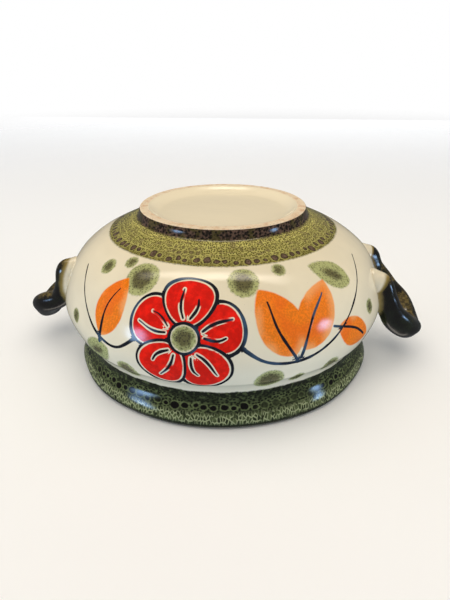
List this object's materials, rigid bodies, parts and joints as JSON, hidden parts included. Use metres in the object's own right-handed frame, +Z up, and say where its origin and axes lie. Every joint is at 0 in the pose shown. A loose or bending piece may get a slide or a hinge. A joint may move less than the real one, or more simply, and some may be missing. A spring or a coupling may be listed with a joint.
{
  "type": "rice bowl",
  "caption": "Round-bellied glazed stoneware rice bowl on a turned foot ring, with a flared collar at the mouth and a looped ear handle on each side.",
  "frame": {"origin": "middle of the foot ring's resting face, at the height the bowl stands on", "axes": "+Z up through the mouth, X through the two handles, Y across"},
  "size_m": [0.2084, 0.159, 0.0778],
  "materials": {
    "body_glaze": "gloss cream glaze, mottled green and brown at the foot and the collar, with hand-painted flowers and leaves",
    "handle_glaze": "gloss brown-black glaze that breaks to amber on its edges, cream where the coil joins the wall"
  },
  "bodies": {
    "root": {"bowl_body": "body_glaze", "left_handle": "handle_glaze", "right_handle": "handle_glaze"}
  },
  "joints": []
}
